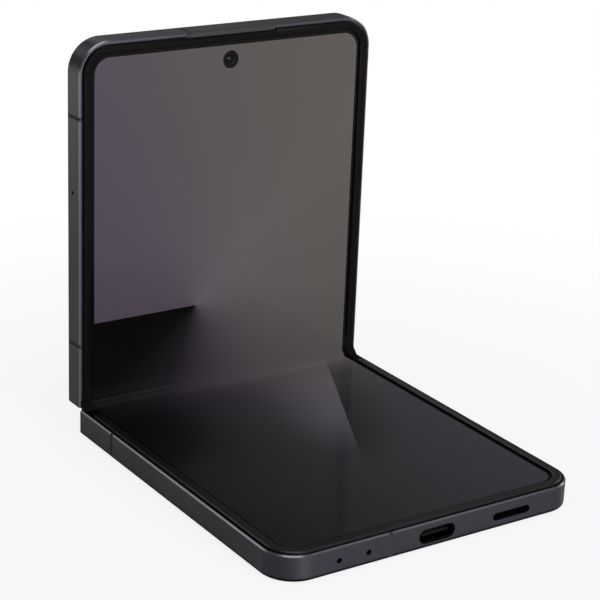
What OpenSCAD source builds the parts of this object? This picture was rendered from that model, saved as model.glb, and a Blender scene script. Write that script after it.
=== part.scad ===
// Foldable clamshell phone, half open at a right angle.
// The origin is the middle of the lower half's back, where it rests; the hinge runs along X.

/* [Body] */
// Width of the phone, along the hinge
body_w = 75.2; // [73:0.1:79]
// Length of one half, from the fold line to its outer end
half_l = 83.35; // [82:0.05:88]
// Thickness of the metal frame of one half
frame_t = 5.75; // [5.6:0.05:6.4]
// Radius of the two outer corners of each half
corner_r = 7.3; // [6:0.1:9]
// Thickness of the frame's side walls
wall = 2.3; // [2.1:0.05:2.6]
// Radius of the frame's back edge
back_edge_r = 0.7; // [0.3:0.05:0.9]
// Bright chamfer round the screen side of the frame
chamfer = 0.3; // [0.15:0.05:0.4]
// Thickness of the inner plate that carries the display
plate_t = 0.9; // [0.8:0.05:1]

/* [Back covers] */
// Thickness of the back glass
glass_t = 0.55; // [0.45:0.05:0.7]
// How far the back glass stands out of the frame
glass_proud = 0.3; // [0.1:0.05:0.4]
// Distance from the outer faces to the edge of the back glass
glass_inset = 1.2; // [1:0.05:1.5]

/* [Display] */
// Thickness of the folding panel
panel_t = 0.4; // [0.3:0.02:0.4]
// Length of the free, bending panel on each side of the fold line
fold_l = 6; // [5.8:0.1:7]
// Distance from the outer faces to the edge of the panel
panel_inset = 1.3; // [1.2:0.05:1.5]
// Distance from the outer faces to the outer edge of the raised bezel
bezel_inset = 0.95; // [0.85:0.05:1.1]
// Width of the raised bezel
bezel_w = 2; // [1.8:0.05:2.4]
// Height of the bezel over the panel
bezel_h = 0.45; // [0.3:0.05:0.5]
// Distance from the fold line to the ends of the bezel
bezel_end = 4.85; // [4.6:0.05:5.4]
// Radius of the window for the front camera
window_r = 2.05; // [1.6:0.05:2.4]
// Distance of the front camera from the outer end
window_y = 7; // [7:0.1:9]

/* [Hinge] */
// Depth of the two fold axes below the panel's face
axis_depth = 0.15; // [0.1:0.01:0.2]
// Gap between the two panel faces when the phone is shut
shut_gap = 1.6; // [1.5:0.05:1.7]
// Gap of each half to the fold line
end_gap = 0.12; // [0.1:0.01:0.16]
// Depth of the spine below the panel's face when the phone lies flat
spine_d = 3.25; // [3.25:0.05:3.35]
// Wall of the spine cover
spine_wall = 0.45; // [0.4:0.01:0.45]
// Radius of the rounded long edges of the spine cover
spine_r = 2; // [1.8:0.05:2.1]
// Half width of the spine cover's flat back
spine_flat = 3.45; // [3.3:0.05:3.5]
// Distance from the outer faces to the ends of the spine
spine_inset = 2.6; // [2.6:0.05:3]
// Outer radius of the curved rails on the hinge arms
rail_r = 2.35; // [2.32:0.01:2.38]
// Width of a rail, along the hinge
rail_w = 2.3; // [2:0.05:2.4]
// Thickness of a hinge arm
arm_t = 0.7; // [0.6:0.02:0.72]
// Module of the hinge gears
gear_m = 0.1; // [0.098:0.001:0.101]
// Width of the meshing gears between the two rails
gear_w = 1.5; // [1.3:0.05:1.6]
// Radius of the gear shafts
shaft_r = 0.25; // [0.2:0.01:0.26]
// Distance from the outer faces to each gear block
block_inset = 17.6; // [16:0.1:21]

/* [Ports and holes] */
// Depth of the openings in the outer ends below the panel's face
port_z = 3; // [3:0.02:3.1]
// Width of the charging socket's shell
usb_w = 8.94; // [8.9:0.01:9]
// Height of the charging socket's shell
usb_h = 3.16; // [3.1:0.01:3.2]
// Wall of the charging socket's shell
usb_wall = 0.3; // [0.25:0.01:0.32]
// Depth of the charging socket
usb_l = 7.35; // [6.5:0.05:8]
// Place of the speaker slot across the phone
speaker_x = 19.2; // [17:0.1:20]
// Length of the speaker slot
speaker_w = 9.7; // [8:0.1:11]
// Height of the speaker slot
speaker_h = 1.7; // [1.4:0.05:1.9]
// Radius of the microphone holes
mic_r = 0.6; // [0.4:0.05:0.7]
// Width of the plastic antenna bands
band_w = 0.9; // [0.7:0.05:1.2]

/* [Card tray] */
// Length of the tray's head
tray_l = 15.5; // [15:0.1:17]
// Height of the tray's head
tray_h = 2.5; // [2.2:0.05:2.6]
// Distance from the outer end to the middle of the tray
tray_end = 27.15; // [26:0.05:30]
// Depth of the tray behind its head
tray_d = 17; // [14:0.5:19]

/* [Keys] */
// Length of the volume key
volume_l = 17; // [14:0.5:18]
// Distance from the outer end to the middle of the volume key
volume_end = 22.35; // [21:0.05:24]
// Length of the side key
side_l = 11; // [9:0.5:12]
// Distance from the outer end to the middle of the side key
side_end = 41.35; // [40:0.05:44]
// Height of the keys
key_h = 2.1; // [1.8:0.05:2.3]
// How far the keys stand out of the frame
key_proud = 0.35; // [0.3:0.05:0.5]

/* [Rear cameras] */
// Radius of the camera rings
ring_r = 6.6; // [6:0.1:7]
// How far the camera rings stand out of the glass
ring_proud = 1.1; // [0.6:0.1:1.4]
// Distance from the outer face to the middle of the cameras
camera_inset = 13.6; // [12.6:0.1:14.6]
// Distance from the outer end to the middle of the outer camera
camera_end = 12.35; // [11:0.05:13]
// Distance between the middles of the two cameras
camera_pitch = 19; // [18.5:0.1:20]

/* [Hidden] */

$fn = 48;

// Clearances
slide_gap = 0.05;   // keys, tray and socket in their openings
run_gap = 0.05;     // rails in their grooves
shaft_gap = 0.03;   // shafts in their bores
part_gap = 0.3;     // between pieces on different bodies
seat_gap = 0.1;     // round loosely seated inner pieces
eps = 0.01;         // overshoot of a cut

// The fold: both halves turn by the same angle from flat
turn = 45;
axis_off = axis_depth + shut_gap / 2;
panel_z = glass_proud + frame_t;
fold_y = half_l / 2;
lower_axis = [fold_y - axis_off, panel_z - axis_depth];
upper_axis = lower_axis + 2 * axis_off * [cos(turn), sin(turn)];

// Heights inside a half, down from the panel's face
glass_in = frame_t + glass_proud - glass_t;
plate_bottom = panel_t + plate_t;
side_x = body_w / 2;
inner_x = side_x - wall;
inner_end = half_l - wall;
groove_inset = chamfer + 0.25;

// The spine sweeps a disc round each axis inside its half
spine_x = side_x - spine_inset;
spine_reach = norm([spine_flat - axis_off, spine_d - spine_r - axis_depth]) + spine_r;
pocket_end = axis_off + spine_reach + part_gap;
bar_t = 1;
lip_t = 0.65;
lip_l = 1.5;
lip_step = 0.5;

// Gear train: rail, pinion, idler, idler, pinion, rail
rail_n = 38;
pinion_n = 10;
idler_n = 12;
mesh_angle = -60;
ring_pitch = gear_m * rail_n / 2;
pinion_pitch = gear_m * pinion_n / 2;
idler_pitch = gear_m * idler_n / 2;
pinion_at = [axis_off, -axis_depth] + (ring_pitch - pinion_pitch) * [cos(mesh_angle), sin(mesh_angle)];
idler_at = [
  idler_pitch,
  pinion_at[1] - sqrt(pow(pinion_pitch + idler_pitch, 2) - pow(pinion_at[0] - idler_pitch, 2))
];
tooth_top = 0.7 * gear_m;
tooth_root = 0.95 * gear_m;
pressure = 25;
thin = 0.1;
rail_from = 208;
rail_to = 335;

// Rows of the hinge along X, from each block's inner end
block_wall = 0.8;
side_play = 0.1;
block_x = side_x - block_inset;
row_lower = block_x + block_wall + side_play;
row_gears = row_lower + rail_w + 2 * side_play + block_wall;
row_upper = row_gears + gear_w + 2 * side_play + block_wall;
block_end = row_upper + rail_w + side_play + block_wall;
block_top = 0.85;
block_from = block_x - 3.2;
block_foot_t = 1.4;
block_screw_x = block_x - 1.6;
spine_top = 0.7;
wide = 8;
arm_top = 0.5;
arm_end = 12.5;
arm_from = axis_off + 1.6;
arm_slot = arm_top + arm_t + 0.07;
foot_w = 6;
pad_t = 1.1;
pad_rim = 1;
screw_r = 0.4;
screw_head_r = 0.8;
screw_head_t = 0.3;
screw_ys = [8.4, 11.2];

// Caps that close the fold at both edges
cap_r = 0.6;
cap_gap = 0.1;
cap_in = side_x - bezel_inset - bezel_w + cap_gap;
cap_out = side_x - bezel_inset + 0.05;
cap_rise = 0.1;
cap_skin = 0.35;
cap_web = 0.6;
cap_web_z = 1.5;
cap_web_top = block_top + seat_gap;
cap_foot = 2.2;
cap_foot_x = spine_x - spine_wall - 0.9;
spring_w = 6;
gear_room = [2.35, 2.6];

// Panel in the fold: its middle layer keeps its length
middle_d = panel_t / 2;
corner_out = 2 * axis_off * cos(turn) - axis_off - axis_depth;
bend_r = (corner_out + middle_d) / (1 - PI / 4);
bend_face_r = bend_r - middle_d;
bend_from = bend_r - corner_out - middle_d;
flex_w = 12;
flex_t = 0.12;
flex_floor = 2.2;
flex_gate = pocket_end + bar_t;
flex_end = flex_gate + 1.5;
flex_z = 2.05;
flex_way = [1.1, 0.5];

// Openings in the outer ends
mic_xs = [-23.94, -16.88];
top_mic_xs = [-23, -15.7];
top_mic_r = 0.45;
top_mic_z = 4.3;
end_band_lower = -11.6;
end_band_upper = -10.6;
side_band_y = 14.8;
left_band_end = 16.55;
left_band_y = half_l - left_band_end;
right_band_end = 9.95;
right_band_y = half_l - right_band_end;
band_d = 1.2;
earpiece_w = 23;
earpiece_l = 0.5;

// Keys and tray
volume_y = half_l - volume_end;
side_y = half_l - side_end;
tray_y = half_l - tray_end;
key_skin = 0.9;
key_flange = 0.75;
key_flange_t = 0.4;
key_stem = 0.5;
key_stem_r = 0.6;
tray_skin = 1;
tray_plate_t = 0.8;
card_x = 4;
card_w = 10;
tray_side = 0.7;
plate_w = tray_l - 2 * tray_side;
reader_gap = 0.2;
reader_rim = 0.5;
key_rest = 0.15;
pin_r = 0.45;
pin_y = tray_y - tray_l / 2 + tray_h / 2 + 0.1;
tray_z = 3.1;
key_z = 3.1;

// Inner pieces of the lower half
battery_room = 4.3;
battery_x = inner_x - battery_room;
battery_y = 16;
sub_board_l = 22.35;
sub_board_y = half_l - sub_board_l;
battery_gap = 2;
battery_t = glass_in - plate_bottom - 0.6;
lower_battery_l = sub_board_y - battery_gap - battery_y;
coil_r = 20;
coil_hole_r = 9;
coil_t = 0.5;
board_t = 0.7;
board_end = inner_end - 0.6;
sub_board_x = battery_x - 1;
socket_floor = port_z + usb_h / 2;
usb_sunk = 0.35;
usb_back = 1;
tongue_w = 6.7;
tongue_t = 0.7;
tongue_sunk = 1;
speaker_x0 = speaker_x - 8;
speaker_x1 = battery_x + 2;
mesh_t = 0.9;
mesh_rim = 0.6;
mic_w = 3;
mic_l = 2.6;
mic_h = 2.8;
haptic_r = 4;
haptic_x = sub_board_x - 2 * haptic_r;
haptic_y = sub_board_y + 7;

// Inner pieces of the upper half
camera_x = side_x - camera_inset;
camera_room = 9.5;
display_room = 9;
upper_battery_x = camera_x - camera_room;
board_rim = 0.95;
upper_board_y = tray_y - tray_l / 2 - reader_rim - board_rim;
upper_battery_l = upper_board_y - battery_gap - battery_y;
upper_board_z = 3.8;
upper_board_x = battery_x + 2;
upper_board_end = inner_end - 2.55;
can_xs = [-12, 14];
can_edge = 2;
can_l = 11;
can_gap = 1.5;
can_room = 2.95;
cover_display_xs = [-battery_x, camera_x - display_room];
cover_display_ys = [20, half_l - 6.35];
cover_display_t = 0.5;
front_camera_r = 2.4;
can_ys = [
  [upper_board_y + can_edge, upper_board_y + can_edge + can_l],
  [upper_board_y + can_edge + can_l + can_gap, half_l - window_y - front_camera_r - can_room]
];
duct_w = 9;
duct_t = 0.8;
duct_from = 1.9;
earpiece_body_w = 14;
top_mic_w = 2.4;
top_mic_l = 2;
top_mic_h = 1.6;
switch_ls = [10, 5];
switch_t = 1.2;

// Rear cameras on the upper half
camera_ys = [half_l - camera_end - camera_pitch, half_l - camera_end];
flash_y = half_l - camera_end - camera_pitch / 2;
flash_r = 2.2;
ring_wall = 0.9;
camera_r = ring_r - ring_wall - 0.4;
lens_sunk = 0.2;
lens_t = 0.5;
module_gap = 0.3;
camera_depth = frame_t + glass_proud + ring_proud - plate_bottom;

function arc_points(c, r, a0, a1, n = 6) =
  [for (i = [0:n]) c + r * [cos(a0 + (a1 - a0) * i / n), sin(a0 + (a1 - a0) * i / n)]];

// Involute flank of a gear with base radius rb, from the pitch circle's half tooth angle
function involute_angle(rb, r) = r <= rb ? 0 : sqrt(r * r / (rb * rb) - 1) * 180 / PI - acos(rb / r);
function gear_points(n, m, top, root, extra) = let (
  rp = n * m / 2,
  rb = rp * cos(pressure),
  half = 90 / n * (1 + extra),
  at_pitch = involute_angle(rb, rp),
  rs = [rp - root, rp - root / 2, rp, rp + top / 2, rp + top],
  ang = [for (r = rs) half + at_pitch - involute_angle(rb, r)]
) [
  for (k = [0:n - 1]) each concat(
    [for (i = [0:4]) rs[i] * [cos(360 * k / n - ang[i]), sin(360 * k / n - ang[i])]],
    [for (i = [4:-1:0]) rs[i] * [cos(360 * k / n + ang[i]), sin(360 * k / n + ang[i])]]
  )
];

// Tooth phases that put each pair in mesh at rest, for the idler's phase p
to_pinion = atan2(pinion_at[1] - idler_at[1], pinion_at[0] - idler_at[0]);
function pinion_phase(p) =
  to_pinion + 180 - 360 / pinion_n * (0.5 - (to_pinion - p) * idler_n / 360);
function rail_phase(p) = mesh_angle - (mesh_angle - pinion_phase(p)) * pinion_n / rail_n;
upper_idler_phase = 0;
lower_idler_phase = 180 / idler_n;

// Places: each half is drawn flat, fold line at y = 0, panel face at z = 0
module in_lower() translate([0, fold_y, panel_z]) mirror([0, 1, 0]) children();
module in_upper()
  translate([0, upper_axis[0], upper_axis[1]]) rotate([2 * turn, 0, 0])
    translate([0, -axis_off, axis_depth]) children();
module in_spine()
  translate([0, lower_axis[0], lower_axis[1]]) rotate([turn, 0, 0])
    translate([0, axis_off, axis_depth]) children();
module both_sides() {
  children();
  mirror([1, 0, 0]) children();
}
module other_half() mirror([0, 1, 0]) children();

// Extrudes a y-z outline along X between two places
module along_x(x0, x1) translate([x0, 0, 0]) rotate([90, 0, 90]) linear_extrude(x1 - x0) children();

// Stretched round hole or peg: across by high, standing along Y or X
module pill_2d(across, high) {
  square([across - high, high], center = true);
  for (s = [-1, 1]) translate([s * (across - high) / 2, 0]) circle(high / 2);
}
module pill_y(x, z, across, high, y0, y1)
  translate([x, y1, z]) rotate([90, 0, 0]) linear_extrude(y1 - y0) pill_2d(across, high);
module pill_x(y, z, across, high, x0, x1)
  translate([x0, y, z]) rotate([90, 0, 90]) linear_extrude(x1 - x0) pill_2d(across, high);
module rod_x(y, z, r, x0, x1) translate([x0, y, z]) rotate([0, 90, 0]) cylinder(r = r, h = x1 - x0);
module box(a, b) translate(a) cube(b - a);

module end_hole(x, z, r)
  translate([x, half_l + eps, -z]) rotate([90, 0, 0]) cylinder(r = r, h = wall + 2 * eps);

// Outline of a half at a distance inside its outer faces
module half_outline(inset, y0) {
  r = corner_r - inset;
  x = side_x - inset;
  translate([-x, y0]) square([2 * x, half_l - corner_r - y0]);
  translate([r - x, y0]) square([2 * (x - r), half_l - inset - y0]);
  for (s = [-1, 1]) translate([s * (x - r), half_l - corner_r]) circle(r);
}
module slab(inset, y0, z0, z1) translate([0, 0, z0]) linear_extrude(z1 - z0) half_outline(inset, y0);

// Sweeps a profile round the two sides and the outer end: x is the inset, y the height
module rim(y0) {
  both_sides() {
    translate([side_x, half_l - corner_r, 0]) mirror([1, 0, 0]) rotate([90, 0, 0])
      linear_extrude(half_l - corner_r - y0) children();
    translate([side_x - corner_r, half_l - corner_r, 0]) rotate_extrude(angle = 90)
      translate([corner_r, 0]) mirror([1, 0]) children();
  }
  translate([corner_r - side_x, half_l, 0]) mirror([0, 1, 0]) rotate([90, 0, 90])
    linear_extrude(body_w - 2 * corner_r) children();
}

module frame_profile()
  polygon(concat(
    arc_points([back_edge_r, back_edge_r - frame_t], back_edge_r, 270, 180),
    [
      [0, -chamfer], [chamfer, 0], [groove_inset, 0], [groove_inset, -panel_t],
      [wall, -panel_t], [wall, -glass_in], [glass_inset, -glass_in], [glass_inset, -frame_t]
    ]
  ));

module bezel_profile() {
  step = 0.2;
  seat = panel_inset - slide_gap;
  polygon([
    [bezel_inset, -panel_t], [bezel_inset, bezel_h - step], [bezel_inset + step, bezel_h],
    [bezel_inset + bezel_w - step / 2, bezel_h], [bezel_inset + bezel_w, bezel_h - step],
    [bezel_inset + bezel_w, 0], [seat, 0], [seat, -panel_t]
  ]);
}

// Slot of an antenna band in a side wall at y, or in the end wall at x
module side_band(y) translate([side_x, y + band_w / 2, 0]) mirror([1, 0, 0]) rotate([90, 0, 0])
  linear_extrude(band_w) intersection() {
    frame_profile();
    translate([-eps, -frame_t]) square([band_d + eps, frame_t]);
  }
module end_band(x) translate([x - band_w / 2, half_l, 0]) mirror([0, 1, 0]) rotate([90, 0, 90])
  linear_extrude(band_w) intersection() {
    frame_profile();
    translate([-eps, -frame_t]) square([band_d + eps, frame_t]);
  }
module bands(left_ys, right_ys, end_x) {
  mirror([1, 0, 0]) for (y = left_ys) side_band(y);
  for (y = right_ys) side_band(y);
  end_band(end_x);
}
module bands_lower() bands([side_band_y], [side_band_y], end_band_lower);
module bands_upper() bands([side_band_y, left_band_y], [side_band_y, right_band_y], end_band_upper);

// Place of a hinge arm's foot along X, and its screws
function foot_x(row) = row + rail_w / 2;
module foot_box(row, grow, z0, z1)
  box([foot_x(row) - foot_w / 2 - grow, pocket_end + seat_gap - grow, z0],
      [foot_x(row) + foot_w / 2 + grow, arm_end + grow, z1]);
module at_screws(row)
  both_sides() for (y = screw_ys) translate([foot_x(row), y, -arm_top]) children();

// Frame of one half without its openings
module frame_shell(row) {
  difference() {
    union() {
      rim(end_gap) frame_profile();
      slab(wall - eps, pocket_end, -plate_bottom, -panel_t);
      box([-inner_x - eps, pocket_end, -glass_in], [inner_x + eps, pocket_end + bar_t, -plate_bottom + eps]);
      box([-inner_x - eps, end_gap, -frame_t], [inner_x + eps, end_gap + lip_l - lip_step, lip_t - frame_t]);
      box([-inner_x - eps, end_gap, -glass_in], [inner_x + eps, end_gap + lip_l, lip_t - frame_t]);
      both_sides() box([foot_x(row) - foot_w / 2 - pad_rim, pocket_end, -arm_top - arm_t - pad_t],
                       [foot_x(row) + foot_w / 2 + pad_rim, arm_end + pad_rim, -plate_bottom + eps]);
    }
    both_sides() {
      foot_box(row, seat_gap, -arm_top - arm_t, 0);
      box([row - part_gap, pocket_end - eps, -arm_top - arm_t - seat_gap],
          [row + rail_w + part_gap, pocket_end + bar_t + eps, 0]);
      // the disc in which the spine cap turns
      rod_x(axis_off, -axis_depth, cap_r + cap_gap, inner_x - eps, side_x - cap_skin);
      box([inner_x - eps, end_gap - eps, -axis_depth - cap_r - cap_gap],
          [side_x - cap_skin, axis_off, eps]);
    }
    at_screws(row) translate([0, 0, -arm_t - pad_t - eps]) cylinder(r = screw_r + eps, h = arm_t + pad_t);
    box([-flex_w / 2 - part_gap, pocket_end - eps, -flex_z - flex_way[0]],
        [flex_w / 2 + part_gap, flex_gate + eps, -flex_z + flex_way[1]]);
  }
}

module glass_plate(y0) slab(glass_inset + slide_gap, y0, -frame_t - glass_proud, -glass_in);
glass_from = end_gap + lip_l - lip_step + slide_gap;

module flat_panel() slab(panel_inset, fold_l, -panel_t, 0);
module hinge_caps() both_sides() difference() {
  box([cap_in, axis_off, -panel_t], [cap_out, bezel_end - cap_gap, cap_rise]);
  rod_x(axis_off, -axis_depth, cap_r + cap_gap, cap_in - eps, cap_out + eps);
}

// Hinge arm: a foot screwed to the half and a toothed rail curved round the fold axis
module arm(row, phase, flat_turn) both_sides() {
  difference() {
    union() {
      along_x(row, row + rail_w) {
        translate([axis_off, -axis_depth]) intersection() {
          difference() {
            circle(rail_r, $fn = 96);
            rotate(phase - flat_turn)
              polygon(gear_points(rail_n, gear_m, tooth_root, tooth_top, thin));
          }
          polygon(concat([[0, 0]], arc_points([0, 0], 2 * rail_r, rail_from, rail_to)));
        }
        translate([arm_from, -arm_top - arm_t]) square([arm_end - arm_from, arm_t]);
      }
      foot_box(row, 0, -arm_top - arm_t, -arm_top);
    }
    for (y = screw_ys) translate([foot_x(row), y, -arm_top]) {
      translate([0, 0, -arm_t - eps]) cylinder(r = screw_r + slide_gap, h = arm_t + 2 * eps);
      translate([0, 0, -screw_head_t - eps])
        cylinder(r = screw_head_r + slide_gap, h = screw_head_t + 2 * eps);
    }
  }
}
module arm_screw() {
  translate([0, 0, -screw_head_t]) cylinder(r = screw_head_r, h = screw_head_t);
  translate([0, 0, -arm_t - pad_t + 0.1]) cylinder(r = screw_r, h = arm_t + pad_t - 0.1 - screw_head_t + eps);
}

// Lower half

module frame_lower() color([0.24, 0.24, 0.26]) in_lower() difference() {
  frame_shell(row_lower);
  bands_lower();
  pill_y(0, -port_z, usb_w + 2 * slide_gap, usb_h + 2 * slide_gap, inner_end - eps, half_l + eps);
  pill_y(speaker_x, -port_z, speaker_w, speaker_h, inner_end - eps, half_l + eps);
  for (x = mic_xs) end_hole(x, port_z, mic_r);
}
module antenna_bands_lower() color([0.17, 0.17, 0.18]) in_lower() bands_lower();
module back_glass_lower() color([0.2, 0.2, 0.22]) in_lower() glass_plate(glass_from);
module display_lower() color([0.06, 0.06, 0.07]) in_lower() flat_panel();
module bezel_lower() color([0.03, 0.03, 0.03]) in_lower() rim(bezel_end) bezel_profile();
module hinge_caps_lower() color([0.03, 0.03, 0.03]) in_lower() hinge_caps();
module arms_lower() color([0.6, 0.6, 0.62]) in_lower() arm(row_lower, rail_phase(lower_idler_phase), turn);
module arm_screws_lower() color([0.5, 0.5, 0.5]) in_lower() at_screws(row_lower) arm_screw();

module battery(x0, x1, length) color([0.15, 0.15, 0.17])
  box([x0, battery_y, -plate_bottom - battery_t], [x1, battery_y + length, -plate_bottom]);
module battery_lower() in_lower() battery(-battery_x, battery_x, lower_battery_l);
module charging_coil() color([0.7, 0.4, 0.2]) in_lower()
  translate([0, battery_y + lower_battery_l / 2, -glass_in]) difference() {
    cylinder(r = coil_r, h = coil_t);
    translate([0, 0, -eps]) cylinder(r = coil_hole_r, h = coil_t + 2 * eps);
  }
module sub_board() color([0.1, 0.3, 0.2]) in_lower()
  box([-sub_board_x, sub_board_y, -socket_floor - board_t], [speaker_x0 - 1, board_end, -socket_floor]);
module usb_shell() color([0.55, 0.55, 0.57]) in_lower() difference() {
  pill_y(0, -port_z, usb_w, usb_h, half_l - usb_l, half_l - usb_sunk);
  pill_y(0, -port_z, usb_w - 2 * usb_wall, usb_h - 2 * usb_wall, half_l - usb_l + usb_back, half_l);
}
module usb_tongue() color([0.05, 0.05, 0.05]) in_lower()
  box([-tongue_w / 2, half_l - usb_l + usb_back, -port_z - tongue_t / 2],
      [tongue_w / 2, half_l - tongue_sunk, -port_z + tongue_t / 2]);
module speaker_module() color([0.08, 0.08, 0.08]) in_lower()
  box([speaker_x0, sub_board_y, -glass_in], [speaker_x1, inner_end - mesh_t, -plate_bottom]);
module speaker_mesh() color([0.3, 0.3, 0.3]) in_lower()
  box([speaker_x - speaker_w / 2 - mesh_rim, inner_end - mesh_t, -port_z - speaker_h / 2 - mesh_rim],
      [speaker_x + speaker_w / 2 + mesh_rim, inner_end, -port_z + speaker_h / 2 + mesh_rim]);
module microphones_lower() color([0.7, 0.6, 0.3]) in_lower()
  for (x = mic_xs)
    box([x - mic_w / 2, inner_end - mic_l, -socket_floor], [x + mic_w / 2, inner_end, mic_h - socket_floor]);
module haptic_motor() color([0.6, 0.6, 0.6]) in_lower()
  translate([-haptic_x, haptic_y, -socket_floor]) cylinder(r = haptic_r, h = socket_floor - plate_bottom);

// Upper half

module frame_upper() color([0.24, 0.24, 0.26]) in_upper() difference() {
  frame_shell(row_upper);
  bands_upper();
  for (x = top_mic_xs) end_hole(x, top_mic_z, top_mic_r);
  // slot for the earpiece between bezel and frame
  box([-earpiece_w / 2, half_l - groove_inset - eps, -panel_t], [earpiece_w / 2, half_l - chamfer, eps]);
  // sound duct, front camera and card tray
  duct(seat_gap, 0);
  translate([0, half_l - window_y, -plate_bottom - eps])
    cylinder(r = front_camera_r + 2 * seat_gap, h = plate_t + 2 * eps);
  pill_x(tray_y, -tray_z, tray_l + 2 * slide_gap, tray_h + 2 * slide_gap, -side_x - eps, tray_skin - side_x);
  box([-side_x, tray_y - plate_w / 2 - seat_gap, -tray_z - tray_plate_t / 2 - seat_gap],
      [-inner_x + eps, tray_y + plate_w / 2 + seat_gap, -tray_z + tray_plate_t / 2 + seat_gap]);
  key_opening(volume_y, volume_l);
  key_opening(side_y, side_l);
}
// Sound duct from the earpiece up through the plate to the panel's back
module duct(grow, top)
  box([-duct_w / 2 - grow, inner_end - duct_from - grow, -plate_bottom - eps],
      [duct_w / 2 + grow, inner_end - duct_from + duct_t + grow, top]);
module key_opening(y, length) {
  pill_x(y, -key_z, length + 2 * slide_gap, key_h + 2 * slide_gap, inner_x - eps, side_x + eps);
  pill_x(y, -key_z, length + 2 * key_flange + 2 * seat_gap, key_h + 2 * key_flange,
         inner_x - eps, side_x - key_skin);
}
module key(y, length) {
  flange_x = side_x - key_skin - slide_gap;
  pill_x(y, -key_z, length, key_h, flange_x - slide_gap, side_x + key_proud);
  pill_x(y, -key_z, length + 2 * key_flange - 2 * seat_gap, key_h + 2 * key_flange - 2 * seat_gap,
         flange_x - key_flange_t, flange_x);
  rod_x(y, -key_z, key_stem_r, flange_x - key_flange_t - key_stem, flange_x);
}
module antenna_bands_upper() color([0.17, 0.17, 0.18]) in_upper() bands_upper();
module cover_glass() color([0.05, 0.05, 0.06]) in_upper() difference() {
  glass_plate(glass_from);
  for (y = camera_ys) glass_hole(y, ring_r - ring_wall);
  glass_hole(flash_y, flash_r + slide_gap);
}
module glass_hole(y, r)
  translate([camera_x, y, -glass_in - glass_t - eps]) cylinder(r = r, h = glass_t + 2 * eps);
module cover_display() color([0.02, 0.02, 0.03]) in_upper()
  box([cover_display_xs[0], cover_display_ys[0], -glass_in],
      [cover_display_xs[1], cover_display_ys[1], cover_display_t - glass_in]);
module display_upper() color([0.12, 0.11, 0.12]) in_upper() difference() {
  flat_panel();
  translate([0, half_l - window_y, -panel_t - eps]) cylinder(r = window_r, h = panel_t + 2 * eps);
}
module bezel_upper() color([0.03, 0.03, 0.03]) in_upper() difference() {
  rim(bezel_end) bezel_profile();
  box([-earpiece_w / 2, half_l - bezel_inset - earpiece_l, -panel_t - eps],
      [earpiece_w / 2, half_l, bezel_h + eps]);
}
module hinge_caps_upper() color([0.03, 0.03, 0.03]) in_upper() hinge_caps();
module arms_upper() color([0.6, 0.6, 0.62]) in_upper() arm(row_upper, rail_phase(upper_idler_phase), turn);
module arm_screws_upper() color([0.5, 0.5, 0.5]) in_upper() at_screws(row_upper) arm_screw();
module battery_upper() in_upper() battery(-battery_x, upper_battery_x, upper_battery_l);
module main_board() color([0.1, 0.3, 0.2]) in_upper() difference() {
  box([-upper_board_x, upper_board_y, -upper_board_z - board_t],
      [upper_board_x, upper_board_end, -upper_board_z]);
  for (y = camera_ys) translate([camera_x, y, -upper_board_z - board_t - eps])
    cylinder(r = camera_r + module_gap, h = board_t + 2 * eps);
}
module shield_cans() color([0.6, 0.6, 0.62]) in_upper()
  for (ys = can_ys)
    box([can_xs[0], ys[0], -upper_board_z], [can_xs[1], ys[1], -plate_bottom]);
module front_camera() color([0.02, 0.02, 0.02]) in_upper() translate([0, half_l - window_y, 0]) {
  translate([0, 0, -upper_board_z]) cylinder(r = front_camera_r, h = upper_board_z - panel_t - seat_gap);
  translate([0, 0, -panel_t - 2 * seat_gap]) cylinder(r = window_r - slide_gap, h = panel_t + seat_gap);
}
module earpiece() color([0.08, 0.08, 0.08]) in_upper() {
  box([-earpiece_body_w / 2, inner_end - duct_from - 2 * seat_gap, -upper_board_z],
      [earpiece_body_w / 2, inner_end, -plate_bottom]);
  duct(0, -panel_t);
}
module microphones_upper() color([0.7, 0.6, 0.3]) in_upper()
  for (x = top_mic_xs)
    box([x - top_mic_w / 2, inner_end - top_mic_l, -upper_board_z - top_mic_h],
        [x + top_mic_w / 2, inner_end, -upper_board_z]);
module camera_rings() color([0.3, 0.3, 0.32]) in_upper() in_ring() difference() {
  union() {
    cylinder(r = ring_r, h = ring_proud);
    cylinder(r = ring_r - ring_wall - slide_gap, h = ring_proud + glass_t);
  }
  translate([0, 0, -eps]) cylinder(r = camera_r, h = ring_proud + glass_t + 2 * eps);
}
module in_ring() for (y = camera_ys) translate([camera_x, y, -frame_t - glass_proud - ring_proud])
  children();
module camera_lenses() color([0.02, 0.02, 0.03]) in_upper() in_ring()
  translate([0, 0, lens_sunk]) cylinder(r = camera_r, h = lens_t);
module camera_modules() color([0.1, 0.1, 0.1]) in_upper() in_ring() translate([0, 0, lens_sunk + lens_t])
  cylinder(r = camera_r - module_gap, h = camera_depth - lens_sunk - lens_t);
module flash_lens() color([0.9, 0.88, 0.75]) in_upper()
  translate([camera_x, flash_y, -frame_t - glass_proud])
    cylinder(r = flash_r, h = frame_t + glass_proud - upper_board_z - board_t);
module card_reader() color([0.6, 0.6, 0.62]) in_upper() difference() {
  box([-inner_x + reader_gap, tray_y - tray_l / 2 - reader_rim, -upper_board_z],
      [-inner_x + tray_d, tray_y + tray_l / 2 + reader_rim, -plate_bottom]);
  box([-inner_x, tray_y - plate_w / 2 - 2 * seat_gap, -tray_z - tray_plate_t / 2 - seat_gap],
      [-inner_x + tray_d + 1, tray_y + plate_w / 2 + 2 * seat_gap, -tray_z + tray_plate_t / 2 + seat_gap]);
}
module key_switches() color([0.5, 0.45, 0.3]) in_upper() {
  key_switch(volume_y, switch_ls[0]);
  key_switch(side_y, switch_ls[1]);
}
module key_switch(y, length)
  box([inner_x - switch_t, y - length / 2, -key_z - switch_t],
      [inner_x - key_rest, y + length / 2, -plate_bottom]);

// Spine

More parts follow.
